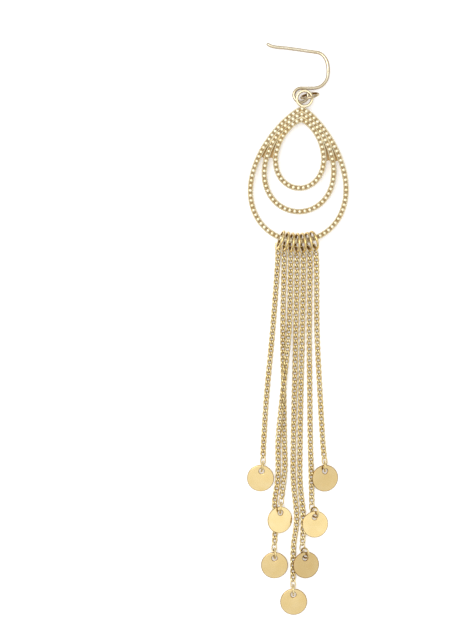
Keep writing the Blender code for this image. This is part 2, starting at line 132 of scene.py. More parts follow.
# Rings, chains and discs
STRANDS = range(1, 8)
SEAM = 0.05 * MM            # width of a jump ring's cut
CHAIN_RING_RADIUS = 2.02 * MM
CHAIN_RING_WIRE = 0.6 * MM
CHAIN_RING_SEAM = (150, 9)  # degrees round ring 0 to its cut, and what each later ring adds
RING_TRIM = 0.05 * MM       # radius and wire are drawn this much smaller, to stay inside the solids
DISC_RING_RADIUS = 1.15 * MM
DISC_RING_WIRE = 0.4 * MM
DISC_RING_SEAM = (70, 20)
DISC_RADIUS = 3.0 * MM
DISC_TRIM = 0.02 * MM       # the discs are drawn this much smaller
DISC_THICK = 0.35 * MM
DISC_ROUNDING = 0.15 * MM   # of the rims and the holes
ROUNDING_BANDS = 3
FACE_MARGIN = 0.1           # share of the rounding's depth that still counts as the face
DISC_SHARP = 50             # edges that turn by more degrees than this are shaded sharp
DISC_SEGMENTS = 72
HOLE_SEGMENTS = 24
CORNER_ANGLE = 1.2          # edges that turn by more than this are rounded
HOLE_RADIUS = 0.6 * MM
HOLE_INSET = 1.4 * MM       # from the rim to the middle of the hole
HOLE_SEARCH = 0.85          # corners within this share of a disc's radius belong to its hole
DISC_PAINTED_SHADES = (0.13, 0.0, 0.28, 0.26, 0.44, 0.02, 0.33)   # painted shade on each disc, standing in for what its tilt reflects
RIM_PAINTED_SHADE = 0.65             # and painted shade added at its rim

CHAIN_WIDE = 1.1 * MM       # of the solid tube that the links stand for
CHAIN_GAP = 0.3 * MM        # between that tube and one that lies across it
LINK_SQUARE = 0.6           # below 1, the links' sides run straighter than an oval's
LINK_PROBE = 0.05           # how far round a link its direction is taken, either way
LINK_SINK = 0.05 * MM       # the links' middle line lies this much lower than the tube's
LOWEST_HOLD = 0.9           # a chain holds its ring no lower than this share of the ring's radius
START_HEIGHT = 0.90 * MM    # where a chain ring's wire passes through the first link
END_LIFT = 0.25 * MM        # and a disc ring's wire through the last link, above the chain
END_SLACK = 0.25 * MM       # between a ring's wire and the link's end
WIRE_SHARE = 0.58           # middle to edge of a ring's slanting wire, as a share of its thickness
END_TURN = math.radians(10) # added to the end links, which meet their neighbours below the tips
JOINT_SLACK = 0.30 * MM     # between the wires of an end link and its neighbour
ROLL_SWAY = math.radians(6) # how far links roll either way along a chain
SWAY_STEP = 0.37            # how fast that changes from link to link
SWAY_FADE = 3               # links over which it fades out at each end

# Points that each chain passes between its two rings, in millimetres from the bottom of the outer
# loop; the third value is 1 where it lies on top of another chain
CHAIN_ROUTES = {
    1: [(-4.02, -4.6, 0), (-5.13, -19.75, 0), (-6.47, -34.2, 0), (-7.11, -44.2, 0)],
    2: [(-2.57, -4.6, 0), (-2.87, -19.75, 0), (-2.69, -31.97, 0), (-2.53, -44.2, 0), (-2.42, -50.0, 0.1),
        (-2.82, -54.5, 0.5)],
    3: [(-1.13, -4.6, 0), (-1.30, -14.5, 0), (-1.47, -19.0, 0.3), (-1.80, -23.5, 0.85),
        (-2.71, -31.97, 1), (-3.62, -40.5, 0.85), (-3.93, -45.0, 0.3), (-3.90, -50.0, 0),
        (-4.02, -53.5, 0), (-4.66, -57.6, 0), (-4.65, -61.5, 0), (-4.60, -65.0, 0)],
    4: [(0.29, -4.6, 0), (0.04, -19.75, 0), (-0.24, -31.97, 0), (-0.51, -44.2, 0), (-0.53, -53.0, 0),
        (0.11, -59.5, 0), (0.16, -62.8, 0), (-0.47, -67.5, 0), (-0.60, -72.2, 0)],
    5: [(1.72, -4.6, 0), (1.47, -19.75, 0), (1.16, -31.97, 0), (0.96, -44.2, 0), (0.93, -53.0, 0),
        (1.55, -59.5, 0), (1.68, -63.0, 0)],
    6: [(3.15, -4.6, 0), (3.00, -19.75, 0), (3.09, -31.97, 0), (3.24, -44.2, 0), (3.45, -52.6, 0)],
    7: [(4.60, -4.6, 0), (4.72, -19.75, 0), (5.4, -34.2, 0), (5.98, -44.2, 0)],
}

# Stage
VIEW_MIDDLE = (-15.71 * MM, -16.98 * MM)   # middle of the view, from the bottom of the outer loop
VIEW_HIGH = 141.1 * MM
CAMERA_HEIGHT = 0.9
CAMERA_REACH = 10           # how far the camera sees
SENSOR = 36.0
FLOOR_SIZE = 4.0
FLOOR_DROP = 0.01 * MM      # keeps the floor just clear of what lies on it
FLOOR_WHITE = (0.97, 0.97, 0.97, 1)
FLOOR_ROUGHNESS = 0.9
FLOOR_GLOW = 0.22           # the floor is a lit white table, so shadows are faint
LAMP_PLACE = (-0.34, 0.18, 1.2)
LAMP_SIZE = 0.66
LAMP_POWER = 5.0
# How bright the sky is by height, from the horizon to straight above
SKY = [(0.0, 0.06), (0.30, 0.16), (0.46, 0.98), (0.70, 1.0), (0.85, 0.95), (1.0, 1.0)]
SKY_STRENGTH = 1.15

# The golds: the colour that each takes, what its roughness is multiplied by and raised by, and how
# far its tints depart from the colour
GOLDS = {
    "ear_wire_gold": ("wire", 1.0, 0.0, 0.10),
    "beaded_gold": ("beads", 1.0, 0.16, 0.10),
    "ring_gold": ("rings", 1.0, 0.0, 0.10),
    "fringe_gold": ("chain", 1.0, 0.03, 0.10),
    "drop_gold": ("disc", 0.5, 0.0, 0.05),
}
# Painted shade on each round wire, on the inside of its ring and down its flanks
HOOK_PAINTED_SHADE = (0.0, 1.0)
TOP_RING_PAINTED_SHADE = (0.2, 0.5)
RING_PAINTED_SHADE = (0.9, 0.35)
LINK_PAINTED_SHADE = (0.55, 0.45)
FLANK_SHADE_FADE = 1.3            # how fast the painted shade deepens down a wire's flanks
CLOUD_SCALE = 420.0         # clouds about 2 mm across
CLOUD_STOPS = (0.35, 0.65)  # the cloud values at which the gold is at its warmest and its palest
GRAIN_SCALE = 7000.0
GRAIN_DEPTH = 0.012 * MM
SCRATCH_TURN = (0.3, 0.2, 0.7)
SCRATCH_SCALE = (900.0, 16000.0, 5000.0)   # long one way and fine the other two
GRAIN_SHARE, SCRATCH_SHARE = 0.6, 0.4      # of the height of the bumps
BUMP_STRENGTH = 0.35
# Shares of the gold's roughness that it has everywhere and that clouds and scratches bring, and
# what the painted shade adds to it
ROUGH_EVEN, ROUGH_CLOUDS, ROUGH_SCRATCHES, ROUGH_IN_SHADE = 0.6, 0.5, 0.3, 0.25
CLOUD_WARMTH = (0.5, 1.0, 1.8)   # how much of the cloud each of red, green and blue loses


def measure(name, description, default):
    """A property that holds a length."""
    return FloatProperty(name=name, description=description, default=default, unit="LENGTH", precision=5)


def colour(name, description, default):
    """A property that holds a colour."""
    return FloatVectorProperty(name=name, description=description, default=default, subtype="COLOR")


class FrameSizes(bpy.types.PropertyGroup):
    """Sizes of the beaded frame's fine surface."""

    rail_wide: measure("Rail width", "Width of each smooth rail", 0.30 * MM)
    rail_rise: measure("Rail rise", "Height of the rails above the floor of the strip", 0.20 * MM)
    bead_pitch: measure("Bead pitch", "From one bead to the next", 1.12 * MM)
    bead_across: measure("Bead width", "Width of each domed bead", 0.92 * MM)
    bead_rise: measure("Bead rise", "Height of the beads above the floor of the strip", 0.42 * MM)


class LinkSizes(bpy.types.PropertyGroup):
    """Sizes of the curb chain's links."""

    length: measure("Length", "Outer length of a link", 2.36 * MM)
    wide: measure("Width", "Outer width of a link", 1.32 * MM)
    wire: measure("Wire", "Diameter of the links' wire", 0.40 * MM)
    pitch: measure("Pitch", "From one link to the next", 1.29 * MM)
    twist: FloatProperty(name="Twist", description="Roll of each end of a link, one way and the other",
                         default=math.radians(58), subtype="ANGLE")
    end_wide: measure("End width", "Outer width of the links on the rings", 1.36 * MM)
    end_wire: measure("End wire", "Diameter of the wire of the links on the rings", 0.28 * MM)
    sides: IntProperty(name="Wire sides", description="Sides of the links' wire", default=6, min=5)
    steps: IntProperty(name="Steps", description="Sections round a link", default=12, min=10)


class GoldLooks(bpy.types.PropertyGroup):
    """Colours and polish of the gold-coloured metal."""

    wire: colour("Ear wire", "Colour of the ear wire and the link ring", (0.64, 0.575, 0.425))
    beads: colour("Frame", "Colour of the beaded frame", (0.82, 0.74, 0.51))
    chain: colour("Chains", "Colour of the chains and the drop rings", (0.96, 0.805, 0.41))
    rings: colour("Fringe rings", "Colour of the rings that carry the chains", (0.92, 0.725, 0.315))
    disc: colour("Discs", "Colour of the discs", (0.91, 0.725, 0.36))
    # painted shade colour, mixed in where the metal is shaded
    painted_shade_colour: colour("Hollows", "Colour of the gold where it faces other gold", (0.25, 0.12, 0.012))
    roughness: FloatProperty(name="Roughness", description="How blurred the reflections are", default=0.22,
                             subtype="FACTOR")


def set_piece(name, mesh, slot, finish, *nodes):
    """Puts a finished mesh into the scene in the place of the solids it stands for."""
    piece = bpy.data.objects.new(name, mesh)
    bpy.context.scene.collection.objects.link(piece)
    mesh.materials.append(finish)
    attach(piece, BODY)
    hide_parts(*nodes)
    return piece


def close_mesh(bm, name, sharp=38):
    """A smooth-shaded mesh from a bmesh, with its faces pointing out."""
    bmesh.ops.recalc_face_normals(bm, faces=bm.faces)
    mesh = bpy.data.meshes.new(name)
    bm.to_mesh(mesh)
    bm.free()
    mesh.shade_smooth()
    mesh.set_sharp_from_angle(angle=math.radians(sharp))
    return mesh


def new_bmesh():
    """An empty bmesh whose vertices also say how much painted shade the metal takes there, from 0 to 1."""
    bm = bmesh.new()
    bm.verts.layers.float.new("hollow")
    return bm


def axes_matrix(origin, x_axis, y_axis):
    """A matrix whose X and Y axes point along two given unit vectors at right angles."""
    place = Matrix((x_axis, y_axis, x_axis.cross(y_axis))).transposed().to_4x4()
    place.translation = origin
    return place


def wire_outline(diameter, sides, inner, flank):
    """Section of a round wire: across, up, and its painted shade inside a ring and down its flanks."""
    turns = [math.tau * i / sides for i in range(sides)]
    return [(diameter / 2 * math.cos(turn), diameter / 2 * math.sin(turn),
             min(1, inner * max(0, -math.cos(turn)) + flank * (1 - max(0, math.sin(turn))) ** FLANK_SHADE_FADE))
            for turn in turns]


def only_verts(parts):
    """The vertices among the parts that an operator gives back."""
    return [part for part in parts if isinstance(part, bmesh.types.BMVert)]


def only_edges(parts):
    """The edges among them."""
    return [part for part in parts if isinstance(part, bmesh.types.BMEdge)]


def sweep(bm, outline, places, closed):
    """Extrudes one outline of (across, up, painted shade) through a row of places."""
    hollow = bm.verts.layers.float["hollow"]
    ring = []
    for across, up, shade_amount in outline:
        vert = bm.verts.new(places[0] @ Vector((across, up, 0)))
        vert[hollow] = shade_amount
        ring.append(vert)
    first = [bm.edges.new((a, b)) for a, b in zip(ring, ring[1:] + ring[:1])]
    edges = first
    for before, place in zip(places, places[1:]):
        grown = bmesh.ops.extrude_edge_only(bm, edges=edges)["geom"]
        verts = only_verts(grown)
        reached = set(verts)
        edges = [edge for edge in only_edges(grown) if reached.issuperset(edge.verts)]
        bmesh.ops.transform(bm, matrix=place @ before.inverted(), verts=verts)
    if closed:
        bmesh.ops.bridge_loops(bm, edges=first + edges)
    else:
        bmesh.ops.edgeloop_fill(bm, edges=first)
        bmesh.ops.edgeloop_fill(bm, edges=edges)


def ring_places(radius, start, turn, steps):
    """Places round a ring in the XY plane, each with its X axis outwards and its Y axis along Z."""
    places = []
    for share in np.linspace(0, 1, steps + 1):
        angle = start + turn * share
        out = Vector((math.cos(angle), math.sin(angle), 0))
        places.append(axes_matrix(out * radius, out, Vector((0, 0, 1))))
    return places


def lengths_along(line):
    """How far along a line each of its points is."""
    return np.concatenate([[0], np.cumsum(np.linalg.norm(np.diff(line, axis=0), axis=1))])


def points_at(stops, along, line):
    """The points of a line at the given lengths along it."""
    return np.column_stack([np.interp(stops, along, line[:, axis]) for axis in range(3)])


def even_points(line, step):
    """Points spaced evenly, about step apart, along a finely drawn line."""
    along = lengths_along(line)
    return points_at(np.linspace(0, along[-1], max(2, round(along[-1] / step)) + 1), along, line)


def smooth_line(points):
    """A fine smooth line through the given points."""
    points = np.array(points, dtype=float)
    ends = np.vstack([2 * points[0] - points[1], points, 2 * points[-1] - points[-2]])
    fine = []
    for before, start, end, after in zip(ends, ends[1:], ends[2:], ends[3:]):
        for t in np.linspace(0, 1, CURVE_STEPS, endpoint=False):
            fine.append(0.5 * (2 * start + (end - before) * t
                               + (2 * before - 5 * start + 4 * end - after) * t ** 2
                               + (3 * start - before - 3 * end + after) * t ** 3))
    fine.append(points[-1])
    return np.array(fine)


def node_points(name):
    """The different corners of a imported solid."""
    points = np.array([vertex.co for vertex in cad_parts[name].data.vertices])
    return np.unique(np.round(points, 7), axis=0)


def ring_place(name, towards):
    """Where a solid ring lies: its X axis in its own plane towards a direction, its Y axis upwards."""
    points = node_points(name)
    middle = points.mean(axis=0)
    normal = Vector(np.linalg.svd(points - middle)[2][2])
    towards = Vector(towards)
    x_axis = (towards - normal * normal.dot(towards)).normalized()
    y_axis = normal.cross(x_axis)
    if y_axis.z < 0:
        y_axis = -y_axis
    return axes_matrix(Vector(middle), x_axis, y_axis)


def disc_place(name):
    """Where a solid disc lies: its middle, its Y axis towards the hole and its Z axis up."""
    points = node_points(name)
    normal = Vector(np.linalg.svd(points - points.mean(axis=0))[2][2])
    if normal.z < 0:
        normal = -normal
    middle = Vector((points.min(axis=0) + points.max(axis=0)) / 2)
    hole = [Vector(point) for point in points if (Vector(point) - middle).length < DISC_RADIUS * HOLE_SEARCH]
    y_axis = sum(hole, Vector()) / len(hole) - middle
    y_axis = (y_axis - normal * normal.dot(y_axis)).normalized()
    return axes_matrix(middle, y_axis.cross(normal), y_axis)


def frame_place():
    """Where the frame lies, from its flat drawing with the bottom of the outer loop as origin."""
    slope = math.asin((FRAME_TIP_HEIGHT - FRAME_BOTTOM_HEIGHT) / LOOPS[0][1])
    return (Matrix.Translation((0, 0, FRAME_BOTTOM_HEIGHT))
            @ Matrix.Rotation(math.radians(FRAME_TURN), 4, "Z") @ Matrix.Rotation(slope, 4, "X"))


def top_ring_height():
    """How far up the flat drawing the middle of the ring on the tip is."""
    return LOOPS[0][1] + STRIP_WIDE / 2 - TOP_RING_SINK + TOP_RING_WIRE / 2 + TOP_RING_RADIUS


def eye_places():
    """Middle of the ear wire's eye, and the middle of the opening that it shares with the top ring."""
    bearing = math.radians(EYE_BEARING)
    towards_eye = Vector((math.cos(bearing), math.sin(bearing), 0))
    top_hole = TOP_RING_RADIUS - TOP_RING_WIRE / 2
    eye_hole = EYE_RADIUS - HOOK_WIRE / 2
    middle = frame_place() @ Vector((TOP_RING_OFFSET, top_ring_height(), 0))
    eye = middle + towards_eye * (top_hole + eye_hole - EYE_OVERLAP)
    shared = middle + towards_eye * (top_hole - EYE_OVERLAP / 2)
    eye.z = EYE_HEIGHT
    return eye, shared


def link_ring_middle():
    """Middle of the link ring, which hangs in the opening that the eye and the top ring share."""
    turn, lean = math.radians(LINK_RING_TURN), math.radians(LINK_RING_LEAN)
    along = Vector((math.cos(turn), math.sin(turn), 0))
    across = Vector((-math.sin(turn), math.cos(turn), 0))
    shared = eye_places()[1]
    height = LINK_RING_RADIUS * math.cos(lean) + LINK_RING_WIRE / 2
    return (Vector((shared.x, shared.y, height)) + along * (LINK_RING_RADIUS + LINK_RING_SHIFT[0])
            + across * LINK_RING_SHIFT[1])


def layout_shift():
    """From the layout, whose origin is the bottom of the outer loop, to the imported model."""
    return Matrix.Translation(ring_place("link_ring", (1, 0, 0)).translation - link_ring_middle())


def teardrop(loop, tip_y):
    """A fine line round one loop's centreline, from its tip down the right side and back up."""
    wide, high, pointed = loop
    turn = np.linspace(0, math.tau, LOOP_POINTS)
    across = np.sin(turn) * np.sin(turn / 2) ** pointed
    return np.column_stack([across * wide / 2 / across.max(), tip_y - high / 2 * (1 - np.cos(turn)),
                            np.zeros_like(turn)])


def strip_outline(sizes):
    """Section of the strip that the beads stand on, with a round rail along each edge."""
    back = -(STRIP_BASE + sizes.bead_rise) / 2
    floor = back + STRIP_BASE
    half = STRIP_WIDE / 2 - STRIP_TRIM
    rail = [(half - sizes.rail_wide / 2 * (1 - math.cos(turn)), floor + sizes.rail_rise * math.sin(turn))
            for turn in np.linspace(0, math.pi, RAIL_POINTS)]
    rounding = sizes.rail_wide / 3
    right = [(x, y, STRIP_PAINTED_SHADE)
             for x, y in ((half - rounding, back), (half, back + rounding), (half, floor - rounding))]
    for x, y in rail:
        # painted shade, fading out towards the top of each rail
        hollow = RAIL_PAINTED_SHADE if x < half - sizes.rail_wide / 2 else STRIP_PAINTED_SHADE
        right.append((x, y, hollow * (1 - (y - floor) / sizes.rail_rise)))
    return right + [(-x, y, shade_amount) for x, y, shade_amount in reversed(right)]


def strip_places(line, lower):
    """Places along a closed loop. The tight turn at the tip is one mitred corner."""
    stops = even_points(line, STRIP_STEP)[:-1]
    spare = round(TIP_CORNER / STRIP_STEP)
    stops = np.vstack([stops[:1], stops[spare:-spare + 1]])
    before = stops - np.roll(stops, 1, axis=0)
    after = np.roll(stops, -1, axis=0) - stops
    before /= np.linalg.norm(before, axis=1)[:, None]
    after /= np.linalg.norm(after, axis=1)[:, None]
    along = before + after
    along /= np.linalg.norm(along, axis=1)[:, None]
    mitre = 1 / np.sum(along * after, axis=1)
    return [axes_matrix(Vector(stop) - Vector((0, 0, lower)), Vector((heading[1], -heading[0], 0)),
                        Vector((0, 0, 1))) @ Matrix.Diagonal((stretch, 1, 1, 1))
            for stop, heading, stretch in zip(stops, along, mitre)]


def half_width(line, height):
    """How far from the axis a loop's centreline runs at a given height, above its widest place."""
    right = line[:np.argmax(line[:, 0]) + 1]
    return np.interp(-height, -right[:, 1], right[:, 0])


def solder_rows(lines):
    """Rows of points across the gaps, down to where the loops part, and whether each point is in a gap."""
    foot = lines[0][0][1] - SOLDER_REACH
    rows = []
    for share in np.linspace(0, 1, SOLDER_ROWS):
        heights = [line[0][1] + (foot - line[0][1]) * share for line in lines]
        outer, middle, inner = [(half_width(line, y), y, False) for line, y in zip(lines, heights)]
        gaps = [((a[0] + b[0]) / 2, (a[1] + b[1]) / 2 + SOLDER_ARCH * share ** ARCH_POWER, True)
                for a, b in ((outer, middle), (middle, inner))]
        rows.append([outer, gaps[0], middle, gaps[1], inner])
    return [[(-x, y, in_gap) for x, y, in_gap in row] for row in rows[:0:-1]] + rows


def add_solder(bm, lines, sizes):
    """Solder that fills the loops' gaps from the tip down to where they part, sunk between the strips."""
    hollow = bm.verts.layers.float["hollow"]
    rows = solder_rows(lines)
    back = -(STRIP_BASE + sizes.bead_rise) / 2 + SOLDER_INSET
    flat = bmesh.ops.create_grid(bm, x_segments=len(rows[0]) - 1, y_segments=len(rows) - 1, size=1)["verts"]
    flat.sort(key=lambda vert: (vert.co.y, vert.co.x))
    faces = list(dict.fromkeys(face for vert in flat for face in vert.link_faces))
    for vert, (x, y, _) in zip(flat, [point for row in rows for point in row]):
        vert.co = (x, y, back)
    top = only_verts(bmesh.ops.extrude_face_region(bm, geom=faces)["geom"])
    bmesh.ops.translate(bm, verts=top, vec=(0, 0, STRIP_BASE - 2 * SOLDER_INSET))
    sunk = {(round(x, 7), round(y, 7)) for row in rows for x, y, in_gap in row if in_gap}
    # painted shade on the solder, deeper where it sinks in the gaps
    for vert in top:
        in_gap = (round(vert.co.x, 7), round(vert.co.y, 7)) in sunk
        vert.co.z -= SOLDER_SINK * in_gap
        vert[hollow] = SOLDER_PAINTED_SHADE[in_gap]


def add_copy(bm, mesh, place):
    """Adds one finished small mesh to a bigger one, where it belongs."""
    start = len(bm.verts)
    bm.from_mesh(mesh)
    bm.verts.ensure_lookup_table()
    bmesh.ops.transform(bm, matrix=place, verts=bm.verts[start:])


def signed_power(value, power):
    """A value raised to a power, with its sign kept."""
    return math.copysign(abs(value) ** power, value)


def bead_mesh(sizes):
    """One small dome about the origin, with painted shade towards its foot."""
    bm = new_bmesh()
    around, upward = BEAD_SEGMENTS
    bmesh.ops.create_uvsphere(bm, u_segments=around, v_segments=upward, radius=sizes.bead_across / 2,
                              matrix=Matrix.Diagonal((1, 1, 2 * sizes.bead_rise / sizes.bead_across, 1)))
    cut = bmesh.ops.bisect_plane(bm, geom=bm.verts[:] + bm.edges[:] + bm.faces[:], clear_outer=True,
                                 plane_co=(0, 0, -BEAD_FOOT), plane_no=(0, 0, -1))["geom_cut"]
    bmesh.ops.edgeloop_fill(bm, edges=only_edges(cut))
    hollow = bm.verts.layers.float["hollow"]
    for vert in bm.verts:
        vert.co.z = signed_power(vert.co.z / sizes.bead_rise, BEAD_FULLNESS) * sizes.bead_rise
        # painted shade at the bead's foot, fading out up its side
        vert[hollow] = BEAD_PAINTED_SHADE * min(1, max(0, 1 - vert.co.z / sizes.bead_rise / BEAD_SHADE_TOP))
    return close_mesh(bm, "bead", sharp=180)


def add_beads(bm, line, lower, sizes):
    """A row of small domes along one loop."""
    floor = (STRIP_BASE - sizes.bead_rise) / 2 - lower
    bead = bead_mesh(sizes)
    for stop in even_points(line, sizes.bead_pitch)[:-1]:
        add_copy(bm, bead, Matrix.Translation((stop[0], stop[1], floor)))
    bpy.data.meshes.remove(bead)


def link_mesh(sizes, length, wide, wire, upper_roll, lower_roll):
    """One oval link about the origin, along Y, twisted from the roll of its lower end to its upper."""
    high, half = (length - wire) / 2, (wide - wire) / 2

    def roll_at(turn):
        return lower_roll + (upper_roll - lower_roll) * (math.cos(turn) + 1) / 2

    def point_at(turn):
        side, roll = signed_power(math.sin(turn), LINK_SQUARE) * half, roll_at(turn)
        return Vector((side * math.cos(roll), math.cos(turn) * high, side * math.sin(roll)))

    places = []
    for turn in np.linspace(0, math.tau, sizes.steps, endpoint=False):
        here, roll = point_at(turn), roll_at(turn)
        along = (point_at(turn + LINK_PROBE) - point_at(turn - LINK_PROBE)).normalized()
        up = Vector((-math.sin(roll), 0, math.cos(roll)))
        out = along.cross(up).normalized()
        if out.dot(here) < 0:
            out = -out
        up = (up - along * up.dot(along)).normalized()
        places.append(axes_matrix(here, out, up))
    bm = new_bmesh()
    sweep(bm, wire_outline(wire, sizes.sides, *LINK_PAINTED_SHADE), places, closed=True)
    return close_mesh(bm, "link", sharp=180)


def chain_line(number):
    """The smooth line of one chain, from inside its chain ring's wire to inside its disc ring's wire.

    With it come the directions in which those two wires run there.
    """
    shift = layout_shift()
    top = ring_place(f"chain_ring_{number}", (0, -1, 0))
    bottom = ring_place(f"disc_ring_{number}", (0, 1, 0))
    low, step_up = CHAIN_WIDE / 2 - LINK_SINK, CHAIN_WIDE + CHAIN_GAP
    route = [shift @ Vector((x * MM, y * MM, low + on_top * step_up)) for x, y, on_top in CHAIN_ROUTES[number]]

    def on_wire(place, radius, height):
        drop = min(LOWEST_HOLD, max(0.0, (place.translation.z - height) / radius))
        level = math.sqrt(1 - drop ** 2)
        return place @ Vector((radius * level, -radius * drop, 0)), place.to_3x3() @ Vector((drop, level, 0))

    start, start_wire = on_wire(top, CHAIN_RING_RADIUS, START_HEIGHT)
    end, end_wire = on_wire(bottom, DISC_RING_RADIUS, route[-1].z + END_LIFT)
    return smooth_line([start] + route + [end]), start_wire, end_wire


def roll_across(wire, place, near):
    """The roll, closest to the one given, at which a link in that place stands across a ring's wire."""
    local = place.to_3x3().inverted() @ wire
    roll = math.atan2(-local.x, local.z)
    return roll - math.pi * round((roll - near) / math.pi)


def link_stops(sizes, chain_length, end_length):
    """How far along a chain the middle of each link is."""
    first = end_length / 2 - sizes.end_wire - CHAIN_RING_WIRE * WIRE_SHARE - END_SLACK
    last = chain_length - (end_length / 2 - sizes.end_wire - DISC_RING_WIRE * WIRE_SHARE - END_SLACK)
    reach = (end_length + sizes.length) / 2 - sizes.wire - sizes.end_wire - JOINT_SLACK
    second, last_but_one = first + reach, last - reach
    count = max(2, round((last_but_one - second) / sizes.pitch) + 1)
    return [first, *np.linspace(second, last_but_one, count), last]


def build_chain(number, sizes, finish):
    """One curb chain of interlocking links, with a wider link of thinner wire on the ring at each end."""
    line, start_wire, end_wire = chain_line(number)
    along = lengths_along(line)
    end_length = sizes.length + sizes.end_wide - sizes.wide
    stops = link_stops(sizes, along[-1], end_length)
    plain = link_mesh(sizes, sizes.length, sizes.wide, sizes.wire, sizes.twist, -sizes.twist)
    across = math.pi / 2 - sizes.twist + END_TURN
    sway = random.Random(number).random() * math.tau
    final = len(stops) - 1
    bm = new_bmesh()
    for i, stop in enumerate(stops):
        near = (stop, stop - sizes.pitch / 2, stop + sizes.pitch / 2)
        here, before, after = (Vector(point) for point in points_at(near, along, line))
        y_axis = (before - after).normalized()
        x_axis = y_axis.cross(Vector((0, 0, 1))).normalized()
        roll = ROLL_SWAY * math.sin(sway + i * SWAY_STEP) * min(1, i / SWAY_FADE, (final - i) / SWAY_FADE)
        place = axes_matrix(here, x_axis, y_axis) @ Matrix.Rotation(roll, 4, "Y")
        if 0 < i < final:
            add_copy(bm, plain, place)
            continue
        if i == 0:
            rolls = roll_across(start_wire, place, -across), -across
        else:
            rolls = across, roll_across(end_wire, place, across)
        end = link_mesh(sizes, end_length, sizes.end_wide, sizes.end_wire, *rolls)
        add_copy(bm, end, place)
        bpy.data.meshes.remove(end)
    bpy.data.meshes.remove(plain)
    name = f"curb_chain_{number}"
    return set_piece(name, close_mesh(bm, name, sharp=180), "chain_gold", finish, f"chain_{number}")


def open_ring(name, radius, wire, place, seam_at, slot, finish, node, steps=36, sides=12):
    """A jump ring, cut once where its two ends meet, at an angle in degrees."""
    seam = SEAM / radius
    bm = new_bmesh()
    places = ring_places(radius, math.radians(seam_at) + seam / 2, math.tau - seam, steps)
    sweep(bm, wire_outline(wire, sides, *RING_PAINTED_SHADE), places, closed=False)
    mesh = close_mesh(bm, name)
    mesh.transform(place)
    return set_piece(name, mesh, slot, finish, node)


class Maths:
    """A socket of a finish that can be used in Python sums."""

    def __init__(self, finish, socket):
        self.finish = finish
        self.socket = socket

    def sum(self, operation, first, second):
        return self.finish.node("ShaderNodeMath", {"operation": operation}, {0: first, 1: second})

    def __add__(self, other):
        return self.sum("ADD", self, other)

    def __mul__(self, other):
        return self.sum("MULTIPLY", self, other)

    __radd__ = __add__
    __rmul__ = __mul__


def set_stops(ramp, stops):
    """Gives a colour ramp its stops, each a position and a colour."""
    while len(ramp.elements) < len(stops):
        ramp.elements.new(0.5)
    for element, (position, tint) in zip(ramp.elements, stops):
        element.position = position
        element.color = (*tint, 1)


class Finish:
    """A material whose nodes are added one at a time."""

    def __init__(self, name):
        self.material = bpy.data.materials.new(name)
        self.material.use_nodes = True
        self.shader = self.material.node_tree.nodes["Principled BSDF"]

    def put(self, socket, value):
        """Links a socket, or sets its value."""
        if isinstance(value, Maths):
            self.material.node_tree.links.new(value.socket, socket)
        else:
            socket.default_value = value

    def node(self, kind, settings=None, values=None, output=0):
        """Adds a node of one kind and gives one of its outputs."""
        made = self.material.node_tree.nodes.new(kind)
        for name, setting in (settings or {}).items():
            if name == "stops":
                set_stops(made.color_ramp, setting)
            else:
                setattr(made, name, setting)
        for name, value in (values or {}).items():
            self.put(made.inputs[name], value)
        return Maths(self, made.outputs[output])

    def shade(self, **values):
        """Sets the shader's inputs and gives the finished material."""
        for name, value in values.items():
            self.put(self.shader.inputs[name.replace("_", " ")], value)
        return self.material


def gold(name, metal, painted_shade_colour, roughness, cloud):
    """Polished gold-coloured metal: cloudy tints, fine scratches, and painted shade in hollows and down the
    flanks of wires.
    """
    finish = Finish(name)
    where = finish.node("ShaderNodeTexCoord", output="Object")
    clouds = finish.node("ShaderNodeTexNoise", values={"Vector": where, "Scale": CLOUD_SCALE, "Detail": 3.0})
    grain = finish.node("ShaderNodeTexNoise", values={"Vector": where, "Scale": GRAIN_SCALE, "Detail": 2.0})
    turned = finish.node("ShaderNodeMapping", values={"Vector": where, "Rotation": SCRATCH_TURN,
                                                      "Scale": SCRATCH_SCALE})
    scratches = finish.node("ShaderNodeTexNoise", values={"Vector": turned, "Scale": 1.0, "Detail": 1.0})
    hollow = finish.node("ShaderNodeAttribute", {"attribute_name": "hollow"}, output="Fac")
    pale = [min(1.0, c + cloud * (1.0 - c)) for c in metal]
    warm = [c * (1 - cloud * share) for c, share in zip(metal, CLOUD_WARMTH)]
    stops = list(zip(CLOUD_STOPS, (warm, pale)))
    tint = finish.node("ShaderNodeValToRGB", {"stops": stops}, {"Fac": clouds})
    # mixes the painted shade into the colour
    tone = finish.node("ShaderNodeMix", {"data_type": "RGBA"}, {0: hollow, 6: tint, 7: (*painted_shade_colour, 1)}, output=2)
    height = grain * GRAIN_SHARE + scratches * SCRATCH_SHARE
    bump = finish.node("ShaderNodeBump", values={"Height": height, "Strength": BUMP_STRENGTH,
                                                 "Distance": GRAIN_DEPTH})
    rough = (roughness * (ROUGH_EVEN + clouds * ROUGH_CLOUDS + scratches * ROUGH_SCRATCHES)
             + hollow * ROUGH_IN_SHADE)
    return finish.shade(Base_Color=tone, Metallic=1.0, Roughness=rough, Normal=bump)


def finish_named(name):
    """One of the golds, made when it is first needed."""
    made = bpy.data.materials.get(name)
    if made:
        return made
    looks = bpy.context.scene.gold_looks
    metal, times, plus, cloud = GOLDS[name]
    return gold(name, getattr(looks, metal), looks.painted_shade_colour, looks.roughness * times + plus, cloud)


